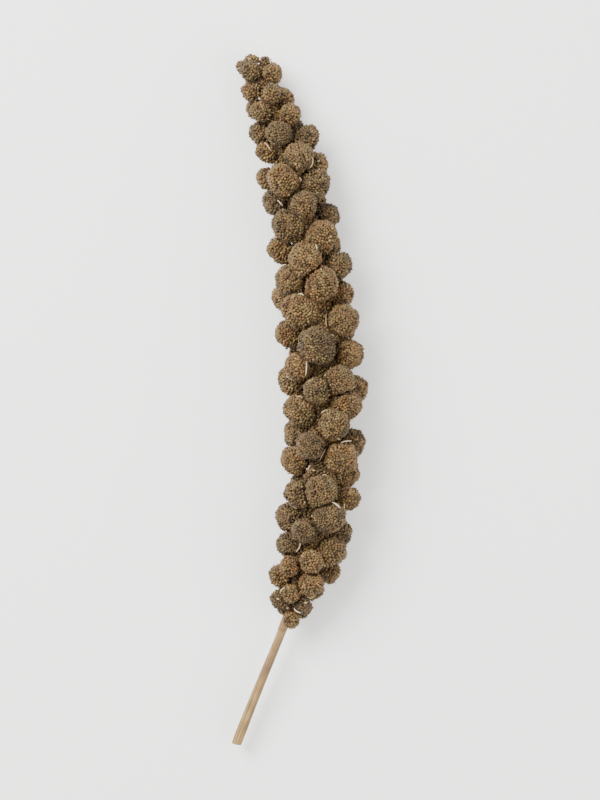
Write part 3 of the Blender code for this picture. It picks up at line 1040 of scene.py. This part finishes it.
level = unit(np.cross(shed_ways, rng.normal(0, 1, shed_ways.shape)))
seats, seat_ways, level = (np.repeat(rows, EMPTY_SCALES, axis=0)
                           for rows in (shed_grains[:, :3, 3], shed_ways, level))
turns = np.tile(np.arange(EMPTY_SCALES), len(shed_ways)) * math.tau / EMPTY_SCALES
turns = (turns + rng.normal(0, EMPTY_PLAY, len(turns)))[:, None]
sides = level * np.cos(turns) + np.cross(seat_ways, level) * np.sin(turns)
gapes = rng.uniform(*EMPTY_GAPE, (len(seats), 1))
empty_sizes = GLUME_DEPTH, EMPTY_WIDTH, rng.uniform(*EMPTY_LENGTH, len(seats))
gaping = standing(seats + sides * EMPTY_OUT, seat_ways + sides * gapes, sides, *empty_sizes)
scattered("empty_scales", glume, gaping, np.repeat(shed_air, EMPTY_SCALES), glume_paper)

# The bristles
# A fine stiff bristle stands beside many of the grains and ends just above them. It is the short kind, which
# leaves the lobes looking clean and round.
BRISTLE_SHARE = 0.4
BRISTLE_LENGTH = (2.2 * MM, 3.8 * MM)
BRISTLE_WIDTH = 0.10 * MM
BRISTLE_SPREAD = 0.18
BRISTLE_ROOT = 0.4  # of a grain's length, below the grain's middle
ROOT_PLAY = 0.5 * MM

bristled = np.flatnonzero((rng.random(len(grains)) < BRISTLE_SHARE) & ~in_hollow)
lean = ways[bristled] + rng.normal(0, BRISTLE_SPREAD, (len(bristled), 3))
bristle_sizes = BRISTLE_WIDTH, BRISTLE_WIDTH, rng.uniform(*BRISTLE_LENGTH, len(bristled))
roots = grains[bristled, :3, 3] - BRISTLE_ROOT * GRAIN_LENGTH * ways[bristled]
roots += rng.normal(0, ROOT_PLAY, roots.shape)
spines = standing(roots, lean, rng.normal(0, 1, roots.shape), *bristle_sizes)
bristle_paper = paper_finish("bristle", (0.27, 0.18, 0.09), (0.12, 0.075, 0.033))
scattered("bristles", hair, spines, open_air[bristled], bristle_paper)

# The loose straw
# Bits of broken branchlet and empty husk lie caught where the lobes nearly touch, the palest thing on the
# head. They aren't fixed: wind, cutting and packing leave them there.
BIT_COUNT = 90
BIT_APART = 8 * MM
BIT_LENGTH = (2.4 * MM, 8.0 * MM)
BIT_SKEW = 1.5  # above 1, more of them are short
BIT_WIDTH = (0.45 * MM, 1.0 * MM)
BIT_FLATNESS = 0.6  # its depth against its width
BIT_RINGS = 6
BIT_BEND = (0.1, 0.7)
BIT_LIFT = 0.1 * MM
HUSK_COUNT = 200
HUSK_APART = 4 * MM
HUSK_LENGTH = (1.6 * MM, 2.4 * MM)
HUSK_SHAPE = (0.3, 0.6, 1)  # its depth, its width and its length, as shares of its length
HUSK_TILT = 0.4
HUSK_SUNK = 0.1 * MM
CREVICE = -2.2 * MM  # a place this close to the next lobe counts as a crevice
OPEN_ENOUGH = 0.08


def straw_bit_shape():
    """One straight sliver of unit length along Z, four-sided, cut into rings and thinned to its ends."""
    bit = primitive(bpy.ops.mesh.primitive_cylinder_add, vertices=4, radius=0.5, depth=1)
    cut_into_rings(bit, BIT_RINGS)
    for vert in bit.data.vertices:
        taper = 1 - 2 * vert.co.z**2
        vert.co.x, vert.co.y = vert.co.x * taper, vert.co.y * taper
    return triangulated(bit)


def spaced(points, candidates, count, apart):
    """Up to count of the candidates, in their order, each at least so far apart from all the others."""
    chosen = []
    for number in candidates:
        if np.all(np.linalg.norm(points[chosen] - points[number], axis=1) > apart):
            chosen.append(number)
        if len(chosen) == count:
            break
    return np.array(chosen)


crevices = rng.permutation(np.flatnonzero((crowding > CREVICE) & (open_air > OPEN_ENOUGH)))
caught = spaced(tips, crevices, BIT_COUNT, BIT_APART)
bit = straw_bit_shape()
bit_lengths = BIT_LENGTH[0] + (BIT_LENGTH[1] - BIT_LENGTH[0]) * rng.random(len(caught)) ** BIT_SKEW
bit_widths = rng.uniform(*BIT_WIDTH, len(caught))
bit_sizes = bit_widths, BIT_FLATNESS * bit_widths, bit_lengths
along = np.cross(outwards[caught], rng.normal(0, 1, (len(caught), 3)))
slivers = standing(tips[caught] + outwards[caught] * BIT_LIFT, along, outwards[caught], *bit_sizes)
pale_straw = paper_finish("pale_straw", (0.66, 0.55, 0.36), (0.30, 0.20, 0.09))
straw_bits, fits = scattered("straw_bits", bit, slivers, open_air[caught], pale_straw)
bends = rng.uniform(*BIT_BEND, len(fits)) * bit_lengths[fits]
offsets = np.array([vert.co.z**2 for vert in bit.data.vertices])
coords = np.array([vert.co for vert in straw_bits.data.vertices]).reshape(len(bends), -1, 3)
coords -= outwards[caught][fits][:, None] * (bends[:, None] * offsets)[:, :, None]
straw_bits.data.vertices.foreach_set("co", coords.ravel())

dropped = spaced(tips, crevices[::-1], HUSK_COUNT, HUSK_APART)
husk_lengths = rng.uniform(*HUSK_LENGTH, len(dropped))
husk_sizes = np.outer(HUSK_SHAPE, husk_lengths)
along = np.cross(outwards[dropped], rng.normal(0, 1, (len(dropped), 3))) + HUSK_TILT * outwards[dropped]
shells = standing(tips[dropped] - outwards[dropped] * HUSK_SUNK, along, outwards[dropped], *husk_sizes)
husk_paper = paper_finish("husk", (0.42, 0.31, 0.17), (0.20, 0.13, 0.055))
scattered("empty_husks", glume, shells, open_air[dropped], husk_paper)
for model in (heart, branchlet, grain, glume, hair, bit):
    bpy.data.objects.remove(model)

# The floor, the light and the camera
# A plain pale floor, soft light from a large panel at the upper left with a weaker one opposite, and a camera
# straight above the head, far enough back to show it as a product picture does.
FLOOR_SIZE = 6
# The panels of light: (name, place, size, watts)
LIGHTS = (("key", (-0.75, 0.65, 1.1), 0.9, 56), ("fill", (0.9, -0.35, 0.9), 1.2, 16))
SKY_STRENGTH = 1.35
VIEW_HEIGHT = 356 * MM  # what the frame shows, at the height of the head's middle
CAMERA_HEIGHT = 1.4

floor = primitive(bpy.ops.mesh.primitive_plane_add, size=FLOOR_SIZE)
floor.name = "floor"
pale, tree, shader = new_finish("pale_floor")
shader.inputs["Base Color"].default_value = (0.92, 0.91, 0.89, 1)
shader.inputs["Roughness"].default_value = 0.9
floor.data.materials.append(pale)
floor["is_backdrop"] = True

for name, place, size, power in LIGHTS:
    light = bpy.data.objects.new(name, bpy.data.lights.new(name, "AREA"))
    light.data.size = size
    light.data.energy = power
    light.location = place
    light.rotation_euler = (-Vector(place)).to_track_quat("-Z", "Y").to_euler()
    bpy.context.scene.collection.objects.link(light)
world = bpy.data.worlds.new("studio")
world.use_nodes = True
world.node_tree.nodes["Background"].inputs["Color"].default_value = (1, 1, 1, 1)
world.node_tree.nodes["Background"].inputs["Strength"].default_value = SKY_STRENGTH
bpy.context.scene.world = world

camera = bpy.data.objects.new("camera", bpy.data.cameras.new("camera"))
camera.data.sensor_fit = "VERTICAL"
camera.data.lens = camera.data.sensor_height * (CAMERA_HEIGHT - HEAD_WIDTH / 2) / VIEW_HEIGHT
camera.location = (0, 0, CAMERA_HEIGHT)
bpy.context.scene.collection.objects.link(camera)
bpy.context.scene.camera = camera

sizes = {"cad": cad_box, "visual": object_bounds()}
